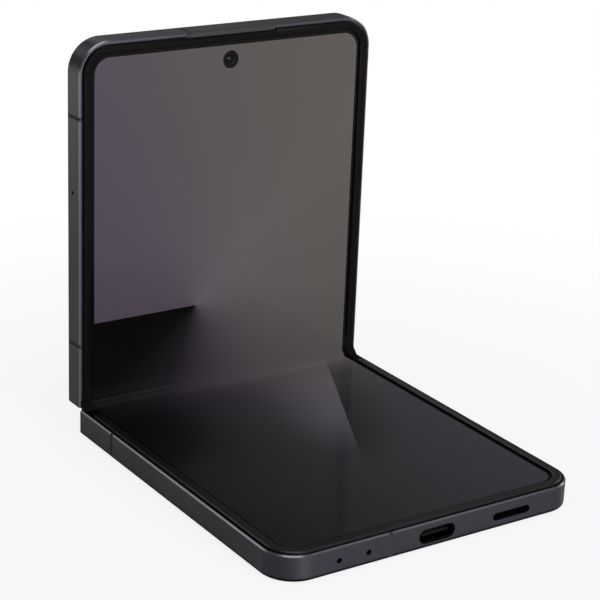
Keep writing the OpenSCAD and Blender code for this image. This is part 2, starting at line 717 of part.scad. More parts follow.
module spine_outline(off) {
  r = spine_r - off;
  translate([0, spine_r - spine_d]) {
    for (s = [-1, 1]) translate([s * spine_flat, 0]) circle(r, $fn = 64);
    translate([-spine_flat, -r]) square([2 * spine_flat, 2 * r]);
    translate([-spine_flat - r, 0]) square([2 * (spine_flat + r), spine_d - spine_r - spine_top + off]);
  }
}
module below_rim(top) intersection() {
  children();
  translate([-wide, -wide]) square([2 * wide, wide - top]);
}
module spine_cover() color([0.26, 0.26, 0.28]) in_spine() difference() {
  along_x(-spine_x, spine_x) below_rim(spine_top) spine_outline(0);
  along_x(-spine_x + spine_wall, spine_x - spine_wall) below_rim(spine_top - eps) spine_outline(spine_wall);
  both_sides() {
    arm_way(row_upper);
    other_half() arm_way(row_lower);
    box([spine_x - spine_wall - eps, -cap_web, -cap_web_z - seat_gap], [spine_x + eps, cap_web, 0]);
    box([spine_x - spine_wall - eps, -axis_off - cap_r - cap_gap, -axis_depth - cap_r - cap_gap],
        [spine_x + eps, axis_off + cap_r + cap_gap, 0]);
    translate([block_screw_x, 0, -spine_d - eps]) cylinder(r = screw_r + slide_gap, h = spine_wall + 2 * eps);
  }
}
module arm_way(row) box([row - part_gap, spine_flat, -arm_slot], [row + rail_w + part_gap, wide, 0]);

// Groove for one rail, its pinion's pocket and the slot for its arm
module rail_room(row) {
  x0 = row - side_play;
  x1 = row + rail_w + side_play;
  difference() {
    rod_x(axis_off, -axis_depth, rail_r + run_gap, x0, x1);
    rod_x(axis_off, -axis_depth, ring_pitch - tooth_top - run_gap, x0 - eps, x1 + eps);
  }
  rod_x(pinion_at[0], pinion_at[1], pinion_pitch + tooth_top + run_gap, x0, x1);
  box([x0, arm_from - 0.25, -arm_slot], [x1, wide, 0]);
}
module hinge_blocks() color([0.45, 0.45, 0.47]) in_spine() both_sides() difference() {
  along_x(block_from, block_end) below_rim(block_top) spine_outline(spine_wall + 0.02);
  box([block_from - eps, -wide, block_foot_t - spine_d], [block_x, wide, 0]);
  rail_room(row_upper);
  other_half() rail_room(row_lower);
  box([row_gears - side_play, -gear_room[0], -gear_room[1]],
      [row_gears + gear_w + side_play, gear_room[0], 0]);
  for (s = [-1, 1]) {
    rod_x(s * pinion_at[0], pinion_at[1], shaft_r + shaft_gap, block_x + seat_gap, block_end - seat_gap);
    rod_x(s * idler_at[0], idler_at[1], shaft_r + shaft_gap,
          row_gears - block_wall, row_gears + gear_w + block_wall);
  }
  translate([block_screw_x, 0, -spine_d]) cylinder(r = screw_r + eps, h = spine_d);
}
module block_screws() color([0.5, 0.5, 0.5]) in_spine() both_sides()
  translate([block_screw_x, 0, -spine_d + spine_wall]) {
    cylinder(r = screw_r, h = block_foot_t - spine_wall);
    translate([0, 0, block_foot_t - spine_wall]) cylinder(r = screw_head_r, h = screw_head_t);
  }
// Spine caps: a round-ended bar at each edge on a web, clamped by a foot in the spine's end
module spine_caps() color([0.03, 0.03, 0.03]) in_spine() both_sides() {
  web_x = inner_x - seat_gap;
  along_x(cap_in, side_x - cap_skin - cap_gap) {
    for (s = [-1, 1]) translate([s * axis_off, -axis_depth]) circle(cap_r);
    translate([-axis_off, -axis_depth - cap_r]) square([2 * axis_off, 2 * cap_r]);
  }
  box([cap_foot_x, -cap_foot, -spine_d + spine_wall + slide_gap],
      [spine_x - spine_wall - slide_gap, cap_foot, -cap_web_top]);
  box([cap_foot_x, seat_gap - cap_web, -cap_web_z], [web_x, cap_web - seat_gap, -cap_web_top]);
  box([cap_in, seat_gap - cap_web, -cap_web_z], [web_x, cap_web - seat_gap, -axis_depth]);
}
module friction_springs() color([0.55, 0.52, 0.45]) in_spine() both_sides()
  box([block_end + slide_gap, -spring_w / 2, -spine_d + spine_wall + slide_gap],
      [cap_foot_x - slide_gap, spring_w / 2, -cap_web_top - slide_gap]);

module display_fold() color([0.07, 0.07, 0.08])
  along_x(-cap_in + cap_gap, cap_in - cap_gap) translate([fold_y, panel_z]) {
    translate([-fold_l, -panel_t]) square([fold_l - bend_from, panel_t]);
    translate([corner_out, corner_out + bend_from]) square([panel_t, fold_l - bend_from]);
    translate([-bend_from, bend_face_r]) difference() {
      intersection() {
        circle(bend_face_r + panel_t, $fn = 96);
        translate([0, -wide]) square([wide, wide]);
      }
      circle(bend_face_r, $fn = 96);
    }
  }

// Flexible circuit through the spine: a tab on each half and an arc between them
function upper_point(p) = let (q = p - [axis_off, -axis_depth])
  [axis_off + q[0] * cos(turn) - q[1] * sin(turn), -axis_depth + q[0] * sin(turn) + q[1] * cos(turn)];
function flex_half(z, r) = let (
  gate = upper_point([flex_gate, -flex_z]),
  sag = gate[1] + flex_floor,
  bend = (pow(gate[0], 2) + pow(sag, 2)) / (2 * sag),
  centre = [0, bend - flex_floor]
) concat(
  arc_points(centre, bend + r, -90, atan2(gate[1] - centre[1], gate[0]), 24),
  [upper_point([flex_end, z])]
);
function flex_side(z, r) = let (half = flex_half(z, r))
  concat([for (i = [len(half) - 1:-1:1]) [-half[i][0], half[i][1]]], half);
module hinge_flex() color([0.65, 0.4, 0.1]) in_spine()
  along_x(-flex_w / 2, flex_w / 2) {
    over = flex_side(-flex_z, 0);
    under = flex_side(-flex_z - flex_t, flex_t);
    polygon(concat(over, [for (i = [len(under) - 1:-1:0]) under[i]]));
  }

// Gears, one at each end of the hinge in each node
module toothed(n, phase, at, x0, x1) both_sides()
  along_x(x0, x1) translate(at) rotate(phase)
    polygon(gear_points(n, gear_m, tooth_top, tooth_root, -thin));
module pinion(row, phase) {
  x0 = min(row, row_gears) - block_wall + seat_gap;
  x1 = max(row + rail_w, row_gears + gear_w) + block_wall - seat_gap;
  toothed(pinion_n, phase, pinion_at, row_gears, row_gears + gear_w);
  toothed(pinion_n, phase, pinion_at, row, row + rail_w);
  both_sides() rod_x(pinion_at[0], pinion_at[1], shaft_r, x0, x1);
}
module idler(phase) {
  toothed(idler_n, phase, idler_at, row_gears, row_gears + gear_w);
  both_sides() rod_x(idler_at[0], idler_at[1], shaft_r,
                     row_gears - block_wall + seat_gap, row_gears + gear_w + block_wall - seat_gap);
}
module pinion_upper() color([0.7, 0.7, 0.7]) in_spine() pinion(row_upper, pinion_phase(upper_idler_phase));
module pinion_lower() color([0.7, 0.7, 0.7]) in_spine() other_half()
  pinion(row_lower, pinion_phase(lower_idler_phase));
module idler_upper() color([0.72, 0.68, 0.5]) in_spine() idler(upper_idler_phase);
module idler_lower() color([0.72, 0.68, 0.5]) in_spine() other_half() idler(lower_idler_phase);

// Keys and card tray

module volume_key() color([0.26, 0.26, 0.28]) in_upper() key(volume_y, volume_l);
module side_key() color([0.26, 0.26, 0.28]) in_upper() key(side_y, side_l);
module card_tray() color([0.24, 0.24, 0.26]) in_upper() difference() {
  union() {
    pill_x(tray_y, -tray_z, tray_l, tray_h, -side_x, tray_skin - slide_gap - side_x);
    box([-side_x + tray_skin - seat_gap, tray_y - plate_w / 2, -tray_z - tray_plate_t / 2],
        [-side_x + tray_d, tray_y + plate_w / 2, -tray_z + tray_plate_t / 2]);
  }
  rod_x(pin_y, -tray_z, pin_r, -side_x - 1, -side_x + tray_skin + seat_gap);
  box([card_x - side_x, tray_y - card_w / 2 + 0.6, -tray_z - 0.1],
      [-side_x + tray_d - 1.5, tray_y + card_w / 2 + 0.6, -tray_z + tray_plate_t]);
}

frame_lower();
back_glass_lower();
display_lower();
bezel_lower();
hinge_caps_lower();
antenna_bands_lower();
arms_lower();
arm_screws_lower();
battery_lower();
charging_coil();
sub_board();
usb_shell();
usb_tongue();
speaker_module();
speaker_mesh();
microphones_lower();
haptic_motor();
frame_upper();
cover_glass();
cover_display();
display_upper();
bezel_upper();
hinge_caps_upper();
antenna_bands_upper();
arms_upper();
arm_screws_upper();
battery_upper();
main_board();
shield_cans();
front_camera();
earpiece();
microphones_upper();
camera_rings();
camera_lenses();
camera_modules();
flash_lens();
card_reader();
key_switches();
spine_cover();
hinge_blocks();
block_screws();
spine_caps();
friction_springs();
display_fold();
hinge_flex();
pinion_lower();
pinion_upper();
idler_lower();
idler_upper();
volume_key();
side_key();
card_tray();
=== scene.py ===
import math
import bpy
import bmesh
from mathutils import Matrix, Vector


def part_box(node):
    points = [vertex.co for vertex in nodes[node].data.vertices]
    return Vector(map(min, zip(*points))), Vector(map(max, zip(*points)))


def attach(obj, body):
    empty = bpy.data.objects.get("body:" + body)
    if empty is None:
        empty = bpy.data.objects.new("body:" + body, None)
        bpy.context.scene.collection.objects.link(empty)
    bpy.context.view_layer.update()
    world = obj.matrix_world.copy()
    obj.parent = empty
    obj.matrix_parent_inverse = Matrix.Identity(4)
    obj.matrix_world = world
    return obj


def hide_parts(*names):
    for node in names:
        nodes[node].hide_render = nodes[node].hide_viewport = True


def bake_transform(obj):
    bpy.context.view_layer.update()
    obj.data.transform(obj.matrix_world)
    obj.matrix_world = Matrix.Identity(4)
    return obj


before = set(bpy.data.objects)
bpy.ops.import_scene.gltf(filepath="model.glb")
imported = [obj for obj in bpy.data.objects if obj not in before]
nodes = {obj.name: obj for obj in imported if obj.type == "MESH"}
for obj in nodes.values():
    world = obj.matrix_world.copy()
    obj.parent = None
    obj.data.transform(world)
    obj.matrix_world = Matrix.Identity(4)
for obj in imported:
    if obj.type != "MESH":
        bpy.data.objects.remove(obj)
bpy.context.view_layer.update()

# Camera at the photograph's viewing angle: its place and turn come from the phone's straight edges.
# The lens is about 116 mm long on a 36 mm sensor, with no shift and no depth of field.
MM = 0.001
camera = bpy.data.objects.new("photo_camera", bpy.data.cameras.new("photo_camera"))
bpy.context.scene.collection.objects.link(camera)
bpy.context.scene.camera = camera
ahead = Vector((0.5272, 0.7778, -0.3421)).normalized()
up = Vector((0.1587, 0.3055, 0.9389))
across = ahead.cross(up).normalized()
camera.matrix_world = Matrix.Translation(Vector((-220.65, -314.56, 179.21)) * MM) @ Matrix(
    (across, across.cross(ahead), -ahead)).transposed().to_4x4()
FOCAL_PIXELS, FRAME_PIXELS = 1928.65, 600
camera.data.sensor_width = 36
camera.data.lens = FOCAL_PIXELS * camera.data.sensor_width / FRAME_PIXELS
camera.data.clip_start, camera.data.clip_end = 0.01, 50


# Frames: one machined aluminium bar round each half, bead-blasted and anodised graphite. The edge on
# the screen side is cut bright after blasting, so the chamfer shines. Their finish is the first, so the
# material classes stand here: a Wire is a socket that calculates, a Patch a set of nodes.
class Wire:
    def __init__(self, patch, socket):
        self.patch, self.socket = patch, socket

    def maths(self, operation, *values):
        return self.patch.node("ShaderNodeMath", {"operation": operation}, dict(enumerate(values)))

    def __add__(self, other): return self.maths("ADD", self, other)
    def __radd__(self, other): return self.maths("ADD", other, self)
    def __sub__(self, other): return self.maths("SUBTRACT", self, other)
    def __rsub__(self, other): return self.maths("SUBTRACT", other, self)
    def __mul__(self, other): return self.maths("MULTIPLY", self, other)
    def __rmul__(self, other): return self.maths("MULTIPLY", other, self)
    def __truediv__(self, other): return self.maths("DIVIDE", self, other)
    def __gt__(self, other): return self.maths("GREATER_THAN", self, other)
    def __lt__(self, other): return self.maths("LESS_THAN", self, other)

    def ramp(self, low, high, to_low=0.0, to_high=1.0):
        inputs = {"Value": self, "From Min": low, "From Max": high, "To Min": to_low, "To Max": to_high}
        return self.patch.node("ShaderNodeMapRange", {"interpolation_type": "SMOOTHSTEP"}, inputs)


class Patch:
    def __init__(self, tree):
        self.tree = tree

    def node(self, kind, settings={}, inputs={}, out=0):
        made = self.tree.nodes.new(kind)
        for setting, value in settings.items():
            if setting == "stops":
                stops = made.color_ramp.elements
                while len(stops) < len(value):
                    stops.new(1.0)
                for stop, (at, tone) in zip(stops, value):
                    stop.position, stop.color = at, (tone, tone, tone, 1)
            else:
                setattr(made, setting, value)
        for socket, value in inputs.items():
            if isinstance(value, Wire):
                self.tree.links.new(value.socket, made.inputs[socket])
            else:
                made.inputs[socket].default_value = value
        return Wire(self, made.outputs[out])

    def mix(self, mask, low, high):
        low, high = (c if isinstance(c, Wire) else (*c, 1) for c in (low, high))
        return self.node("ShaderNodeMix", {"data_type": "RGBA"}, {0: mask, 6: low, 7: high}, out=2)


class Finish(Patch):
    def __init__(self, name, **fixed):
        self.material = bpy.data.materials.new(name)
        self.material.use_nodes = True
        super().__init__(self.material.node_tree)
        self.surface = self.tree.nodes["Principled BSDF"]
        for socket, value in fixed.items():
            self.surface.inputs[socket.replace("_", " ")].default_value = value
        self.place = self.node("ShaderNodeTexCoord", out="Object")
        self.x, self.y, self.z = (
            self.node("ShaderNodeSeparateXYZ", inputs={0: self.place}, out=axis) for axis in "XYZ")

    def noise(self, grain_size, detail=2.0, stretch=(1, 1, 1)):
        stretched = self.node("ShaderNodeMapping", {}, {"Vector": self.place, "Scale": stretch})
        inputs = {"Vector": stretched, "Scale": 1 / grain_size, "Detail": detail}
        return self.node("ShaderNodeTexNoise", {}, inputs)

    def feed(self, **wires):
        for socket, wire in wires.items():
            self.tree.links.new(wire.socket, self.surface.inputs[socket.replace("_", " ")])
        return self

    def bump(self, height, depth):
        inputs = {"Height": height, "Distance": depth, "Strength": 1.0}
        return self.feed(Normal=self.node("ShaderNodeBump", {}, inputs))


def scaled(tone, factor):
    return [factor * part for part in tone]


def dress(finish, *names):
    for name in names:
        nodes[name].data.materials.clear()
        nodes[name].data.materials.append(finish.material)


# depth is how far a point lies behind the screen's face, and back is the depth of the frame's back.
# Near the back the frame is painted darker, a painted shade where its back edge turns away into shadow.
PANEL_Z, PANEL_Y = 6.05 * MM, 41.9185 * MM
CHAMFER, CUT_BRIGHT = 0.3 * MM, (0.21, 0.205, 0.215)
GRAPHITE, PAINTED_EDGE_SHADE = (0.054, 0.0525, 0.063), 0.2
EDGE_SHADE_START, EDGE_SHADE_FULL = 1.0 * MM, 0.6 * MM


def anodised(name, tone=GRAPHITE, depth=None, back=0.0, slot=None):
    finish = Finish(name, Metallic=1.0)
    grain = finish.noise(0.12 * MM, 3)
    cloud = finish.noise(14 * MM, 2)
    shade = finish.mix(cloud.ramp(0.3, 0.7), scaled(tone, 0.93), scaled(tone, 1.07))
    rough = 0.34 + 0.1 * grain
    if depth:
        below = depth(finish)
        cut = below.ramp(CHAMFER, CHAMFER - 0.03 * MM) * (below > 0.004 * MM)
        # inside the earpiece slot the frame is painted black and matt, partly painted shade for the recess
        if slot:
            painted = slot(finish)
            cut = cut * (1 - painted)
            shade = finish.mix(painted, shade, (0.002, 0.002, 0.002))
            finish.feed(Metallic=1 - painted)
            rough = rough + 0.3 * painted
        shade = finish.mix(cut, shade, CUT_BRIGHT)
        # painted shade: the frame darkens over the last millimetre before its back
        painted_edge_shade = below.ramp(back - EDGE_SHADE_START, back - EDGE_SHADE_FULL)
        shade = finish.mix(painted_edge_shade, shade, scaled(tone, PAINTED_EDGE_SHADE))
        rough = rough - 0.13 * cut
    finish.feed(Base_Color=shade, Roughness=rough)
    return finish.bump(grain, 0.002 * MM)


# Earpiece slot: inside it the frame is painted black, rough and not metal. This stands in for the black dust
# mesh in the slot and is partly painted shade for the recess behind it.
SLOT_HALF, SLOT_TOP, SLOT_FOOT = 11.6 * MM, 0.29 * MM, 1.6 * MM


def earpiece_slot(finish):
    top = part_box("frame_upper")[1][2]
    across_slot = finish.x.maths("ABSOLUTE", finish.x) < SLOT_HALF
    below_top = (finish.z < top - SLOT_TOP) * (finish.z > top - SLOT_FOOT)
    return across_slot * below_top * (finish.y < PANEL_Y + MM)


dress(anodised("graphite_lower", depth=lambda finish: PANEL_Z - finish.z,
               back=PANEL_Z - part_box("frame_lower")[0][2]), "frame_lower")
dress(anodised("graphite_upper", depth=lambda finish: finish.y - PANEL_Y,
               back=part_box("frame_upper")[1][1] - PANEL_Y, slot=earpiece_slot), "frame_upper")
graphite = anodised("graphite_trim")


# Antenna bands: black plastic moulded into slots that cut the frame into parts, so that its pieces can
# work as antennas. They are machined flush with the frame.
def plastic(name, tone, rough, grain_size=0.15 * MM, depth=0.004 * MM, **fixed):
    finish = Finish(name, **fixed)
    grain = finish.noise(grain_size, 3)
    cloud = finish.noise(9 * MM, 2)
    shade = finish.mix(cloud.ramp(0.3, 0.7), scaled(tone, 0.88), scaled(tone, 1.12))
    finish.feed(Base_Color=shade, Roughness=rough + 0.12 * (grain - 0.5))
    return finish.bump(grain, depth)


band_plastic = plastic("band_plastic", (0.0185, 0.0185, 0.021), 0.5, Specular_IOR_Level=0.1)
dress(band_plastic, "antenna_bands_lower", "antenna_bands_upper")


# Bezels: a soft black plastic rim that hides the display's edge, glued on and slightly raised. Its
# long edges are rounded. The black hinge caps close the fold at both sides.
JOINED = 0.0005 * MM


def finished(name, bm, finish, body, *stands_for):
    mesh = bpy.data.meshes.new(name)
    bm.to_mesh(mesh)
    bm.free()
    mesh.shade_smooth()
    mesh.set_sharp_from_angle(angle=math.radians(32))
    mesh.materials.append(finish.material)
    made = bpy.data.objects.new(name, mesh)
    bpy.context.scene.collection.objects.link(made)
    if body:
        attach(made, body)
    if stands_for:
        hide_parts(*stands_for)
    return made


def rounded(node, width, segments=2):
    bm = bmesh.new()
    bm.from_mesh(nodes[node].data)
    bmesh.ops.remove_doubles(bm, verts=bm.verts, dist=JOINED)
    bmesh.ops.dissolve_limit(bm, angle_limit=math.radians(0.5), verts=bm.verts, edges=bm.edges)
    sharp = [edge for edge in bm.edges if edge.is_manifold and edge.calc_face_angle(0) > math.radians(50)]
    bmesh.ops.bevel(bm, geom=sharp, offset=width, segments=segments, profile=0.5, affect="EDGES",
                    clamp_overlap=True, material=-1)
    return bm


SOFT_EDGE = 0.12 * MM
black = plastic("black_trim", (0.0022, 0.0022, 0.0025), 0.36, Specular_IOR_Level=0.04)
# The lower bezel takes a copy of the black, a little lighter and much more specular: a painted sheen, so that
# the bezel facing up looks lighter than the upper one.
black_with_painted_sheen = plastic("black_trim_lower", (0.003, 0.003, 0.0035), 0.34, Specular_IOR_Level=0.45)
finished("bezel_rim_lower", rounded("bezel_lower", SOFT_EDGE), black_with_painted_sheen, "lower_half", "bezel_lower")
finished("bezel_rim_upper", rounded("bezel_upper", SOFT_EDGE), black, "upper_half", "bezel_upper")
dress(black, "hinge_caps_lower", "hinge_caps_upper", "spine_caps")

# Display: one thin folding panel behind a soft film, glued to both halves. Inside a narrow black border it
# glows with a painted reflection, a dim tinted grey gradient that turns round a point on the upper half,
# with a painted highlight just before the fold. Places on it are in millimetres: along the fold, and height
# up the panel from the fold.
FAN_ALONG, FAN_HEIGHT = -8.0, 20.0
RAY_SLOPE, RAY_START = 0.49, 29.0
FAN_STOPS = [(0.0, 0.0), (0.1, 0.0016), (0.19, 0.009), (0.28, 0.028), (0.5, 0.088), (0.62, 0.1), (1.0, 0.062)]
panel = Finish("folding_panel", IOR=1.2, Emission_Strength=1.0)
smear = panel.noise(11 * MM, 3)
along = panel.x / MM
height = ((panel.z - PANEL_Z) + (panel.y - PANEL_Y)) / MM
near_fold = height.ramp(-6, -3) - height.ramp(3, 6)
panel.feed(Roughness=0.1 + 0.04 * smear + 0.15 * near_fold,
           Base_Color=panel.mix(smear, (0.001, 0.001, 0.001), (0.002, 0.002, 0.002)))
fan_x, fan_y = along - FAN_ALONG, height - FAN_HEIGHT
angle = fan_y.maths("ARCTAN2", fan_y, fan_x) / math.tau + 0.5
fan = panel.node("ShaderNodeValToRGB", {"stops": FAN_STOPS}, {0: angle})
past_ray = along - (RAY_SLOPE * height + RAY_START)
far = 0.0205 + 0.00038 * along
rise = (past_ray / (38 + 0.5 * height)).ramp(-1, 0)
left_low = far * (1 - 0.75 * height.ramp(-56, -14) * along.ramp(-4, -28)) + (
    0.045 * rise.maths("POWER", rise, 1.4) * height.ramp(-52, -26))
right_low = far + 0.01 * height.ramp(-30, -8) - 0.011 * (1 - past_ray.ramp(0, 16)) * height.ramp(-60, -40)
low = panel.mix(past_ray > 0, left_low, right_low)
gradient = panel.mix(height.ramp(-12, 2), low, fan)
warmth = (along + 0.35 * height).ramp(-25, 35)
tint = panel.mix(warmth, (1.06, 0.84, 1.2), (1.1, 0.98, 0.94))
tint = panel.mix(height.ramp(-30, 10), (1.0, 0.92, 1.08), tint)
# painted highlight on the lower panel just before the fold
painted_crease_highlight = 1 + 0.15 * (height.ramp(-5, -2) - height.ramp(-1.5, 0))
BORDER_X, BORDER_Y, BORDER_R, BORDER_SOFT = 33.9, 79.9, 3.7, 0.04
past_side = along.maths("ABSOLUTE", along) - (BORDER_X - BORDER_R)
past_end = height.maths("ABSOLUTE", height) - (BORDER_Y - BORDER_R)
past_side, past_end = (past.maths("MAXIMUM", past, 0.0) for past in (past_side, past_end))
squared = past_side * past_side + past_end * past_end
within_border = squared.maths("SQRT", squared).ramp(BORDER_R + BORDER_SOFT, BORDER_R - BORDER_SOFT)
# the painted reflection glows as emission inside the border
painted_reflection = panel.node("ShaderNodeVectorMath", {"operation": "MULTIPLY"}, {0: gradient, 1: tint})
painted_reflection = panel.node("ShaderNodeVectorMath", {"operation": "SCALE"}, {0: painted_reflection, "Scale": painted_crease_highlight * within_border})
panel.feed(Emission_Color=painted_reflection)
dress(panel, "display_lower", "display_upper")

# Bend of the display: the panel is loose over the spine. It lies flat when the phone is open and curls
# when it shuts, so it is built flat here and then turned to the rest angle.
TURN = math.radians(45)
FOLD_NORMAL = Vector((0, math.cos(TURN), math.sin(TURN)))
FOLD_Y = 41.675 * MM
LOWER_AXIS = Vector((0, 40.725, 5.9)) * MM
LOOSE_L, STRIP_L, STRIP_T, STRIP_STEP, STRIP_CUTS = 1.8 * MM, 6 * MM, 0.4 * MM, 0.1 * MM, 39


def about_axis(point, angle):
    return LOWER_AXIS + Matrix.Rotation(angle, 3, "X") @ (point - LOWER_AXIS)


BEND_START = Vector((0, FOLD_Y - LOOSE_L, PANEL_Z))
BEND_MIDDLE = about_axis(Vector((0, FOLD_Y, PANEL_Z)), TURN)


def curled(flat):
    share, span = 0.0, BEND_MIDDLE - BEND_START
    for settling in range(60):
        turned = about_axis(flat, share * TURN)
        t = min(max((turned - BEND_START).dot(span) / span.length_squared, 0.0), 1.0)
        share = 0.5 * share + 0.5 * t * t * (3 - 2 * t)
    return turned


def over_the_spine(point):
    return point - 2 * (point - BEND_MIDDLE).dot(FOLD_NORMAL) * FOLD_NORMAL


low_corner, high_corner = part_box("display_fold")
for half in ("lower", "upper"):
    bm = bmesh.new()
    bmesh.ops.create_cube(bm, size=1.0)
    bmesh.ops.scale(bm, vec=(high_corner[0] - low_corner[0], STRIP_L, STRIP_T), verts=bm.verts)
    bmesh.ops.translate(bm, vec=(0, FOLD_Y - STRIP_L / 2, PANEL_Z - STRIP_T / 2), verts=bm.verts)
    for cut in range(1, STRIP_CUTS + 1):
        bmesh.ops.bisect_plane(bm, geom=bm.verts[:] + bm.edges[:] + bm.faces[:],
                               plane_co=(0, FOLD_Y - cut * STRIP_STEP, 0), plane_no=(0, 1, 0))
    for vert in bm.verts:
        x = vert.co.x
        vert.co = curled(Vector((0, vert.co.y, vert.co.z)))
        vert.co.x = x
    if half == "upper":
        for vert in bm.verts:
            vert.co = over_the_spine(vert.co)
        bmesh.ops.reverse_faces(bm, faces=bm.faces)
    strip = finished("display_bend_" + half, bm, panel, None, "display_fold")
    if half == "lower":
        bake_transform(strip)
    else:
        over_the_spine(BEND_START)
        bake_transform(strip)


# Front camera: a black barrel with a small coated lens, seated in its round window in the panel.
def spun(profile, steps=48):
    bm = bmesh.new()
    rim = [bm.verts.new((radius * MM, 0, rise * MM)) for radius, rise in profile]
    edges = [bm.edges.new(pair) for pair in zip(rim, rim[1:])]
    bmesh.ops.spin(bm, geom=rim + edges, cent=(0, 0, 0), axis=(0, 0, 1), angle=math.tau, steps=steps,
                   use_merge=True)
    bmesh.ops.remove_doubles(bm, verts=bm.verts, dist=JOINED)
    bmesh.ops.recalc_face_normals(bm, faces=bm.faces)
    return bm


def domed(radius, foot, rise, step):
    turns = [math.radians(degrees) for degrees in range(90, -1, -step)]
    return [(0, foot)] + [(radius * math.sin(turn), foot + rise * math.cos(turn)) for turn in turns]


def set_down(bm, place, turn):
    bmesh.ops.rotate(bm, cent=(0, 0, 0), matrix=turn, verts=bm.verts)
    bmesh.ops.translate(bm, vec=place, verts=bm.verts)
    return bm


TO_SCREEN = Matrix.Rotation(math.radians(90), 3, "X")
TO_BACK = Matrix.Rotation(math.radians(-90), 3, "X")
gloss = Finish("coated_glass", IOR=1.5, Coat_Weight=0.4, Coat_Roughness=0.03)
film = gloss.noise(16 * MM, 2)
gloss.feed(Base_Color=gloss.mix(film, (0.0025, 0.0025, 0.0035), (0.005, 0.005, 0.007)),
           Roughness=0.03 + 0.03 * film)
lens_glass = Finish("lens_coating", IOR=1.2)
ring = lens_glass.noise(1.5 * MM, 2)
lens_glass.feed(Base_Color=lens_glass.mix(ring, (0.004, 0.003, 0.008), (0.012, 0.006, 0.016)),
                Roughness=0.04 + 0.04 * ring)
barrel_black = plastic("barrel_black", (0.0022, 0.002, 0.002), 0.55, Specular_IOR_Level=0.05)
low_corner, high_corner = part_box("front_camera")
eye = Vector((0, low_corner[1], high_corner[2] - 2.4 * MM))
barrel = spun([(0, -3.6), (2.4, -3.6), (2.4, -0.45), (2.0, -0.4), (2.0, -0.02), (1.98, 0), (1.3, 0),
               (1.27, -0.05), (1.22, -0.06), (0.75, -0.2), (0.7, -0.42), (0, -0.42)])
finished("front_camera_barrel", set_down(barrel, eye, TO_SCREEN), barrel_black, "upper_half", "front_camera")
bead = spun(domed(0.68, -0.5, 0.2, 10), 32)
finished("front_camera_lens", set_down(bead, eye, TO_SCREEN), lens_glass, "upper_half", "front_camera")

# Earpiece and microphones: small capsules glued behind a slot and bores in the outer ends. Black duct
# plastic and a fine dark mesh keep dust out of them.
duct_black = plastic("duct_black", (0.002, 0.002, 0.002), 0.7, Specular_IOR_Level=0.1)
dress(duct_black, "earpiece", "speaker_module", "camera_modules")
port_mesh = plastic("port_mesh", (0.004, 0.004, 0.004), 0.6, 0.08 * MM, 0.02 * MM, Specular_IOR_Level=0.15)
dress(port_mesh, "microphones_lower", "microphones_upper")

# Card tray: a plastic tray with a machined aluminium head, which closes flush with the frame and is
# anodised like it. A pin in the hole of its head pushes it out.
dress(graphite, "card_tray")

# Covers: matt-etched glass on the lower half's back, gloss glass over the outer display. Their edges
# are ground round.
GROUND_EDGE = 0.22 * MM
etched = plastic("etched_glass", (0.045, 0.044, 0.052), 0.42, 0.05 * MM, 0.0015 * MM,
                 Coat_Weight=0.3, Coat_Roughness=0.3)
back_glass = rounded("back_glass_lower", GROUND_EDGE, 3)
finished("back_cover_glass", back_glass, etched, "lower_half", "back_glass_lower")
finished("front_cover_glass", rounded("cover_glass", GROUND_EDGE, 3), gloss, "upper_half", "cover_glass")
dress(gloss, "cover_display")

# Rear cameras: two turned aluminium rings, each round a coated glass disc with the stepped black
# barrel and the domed front lens printed and seated behind it.
finished("camera_ring_pair", rounded("camera_rings", 0.18 * MM, 3), graphite, "upper_half", "camera_rings")
low_corner, high_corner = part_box("camera_lenses")
disc_r = (high_corner[0] - low_corner[0]) / 2
middle_x = (high_corner[0] + low_corner[0]) / 2
for which, z in (("outer", high_corner[2] - disc_r), ("inner", low_corner[2] + disc_r)):
    seat = Vector((middle_x, high_corner[1], z))
    r = disc_r / MM
    disc = spun([(0, -0.5), (r, -0.5), (r, -0.06), (r - 0.06, 0), (3.5, 0), (3.42, -0.12), (3.0, -0.16),
                 (2.9, -0.3), (2.45, -0.33), (2.4, -0.42), (0, -0.42)], 64)
    finished("camera_disc_" + which, set_down(disc, seat, TO_BACK), gloss, "upper_half", "camera_lenses")
    dome = spun(domed(2.3, -0.45, 0.4, 9), 48)
    finished("camera_dome_" + which, set_down(dome, seat, TO_BACK), lens_glass, "upper_half", "camera_lenses")

# Flash: a clear moulded diffuser, pressed into its hole over the lamp. Fine rings in its face spread the
# light, and the yellow lamp shows through.
RINGS, RING_STEP, RING_W, RING_DEPTH = 6, 0.28, 0.14, 0.06
low_corner, high_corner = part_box("flash_lens")
flash_r = (high_corner[0] - low_corner[0]) / 2 / MM
deep = (high_corner[1] - low_corner[1]) / MM
rings = [(0, -deep), (flash_r, -deep), (flash_r, -0.05), (flash_r - 0.05, 0)]
for k in range(RINGS):
    edge = flash_r - 0.3 - RING_STEP * k
    rings += [(edge, 0), (edge - RING_W / 2, -RING_DEPTH), (edge - RING_W, 0)]
rings.append((0, 0))
middle = (Vector(low_corner) + Vector(high_corner)) / 2
flash_seat = Vector((middle.x, high_corner[1], middle.z))
diffuser = plastic("flash_diffuser", (0.7, 0.66, 0.5), 0.18)
finished("flash_diffuser", set_down(spun(rings, 40), flash_seat, TO_BACK), diffuser, "upper_half",
         "flash_lens")

# Keys: machined aluminium bars in pill-shaped openings, anodised like the frame, with softened edges.
# Each is held by its rim inside the frame and springs back on its switch.
finished("volume_bar", rounded("volume_key", SOFT_EDGE, 3), graphite, "volume_key", "volume_key")
finished("side_bar", rounded("side_key", SOFT_EDGE, 3), graphite, "side_key", "side_key")


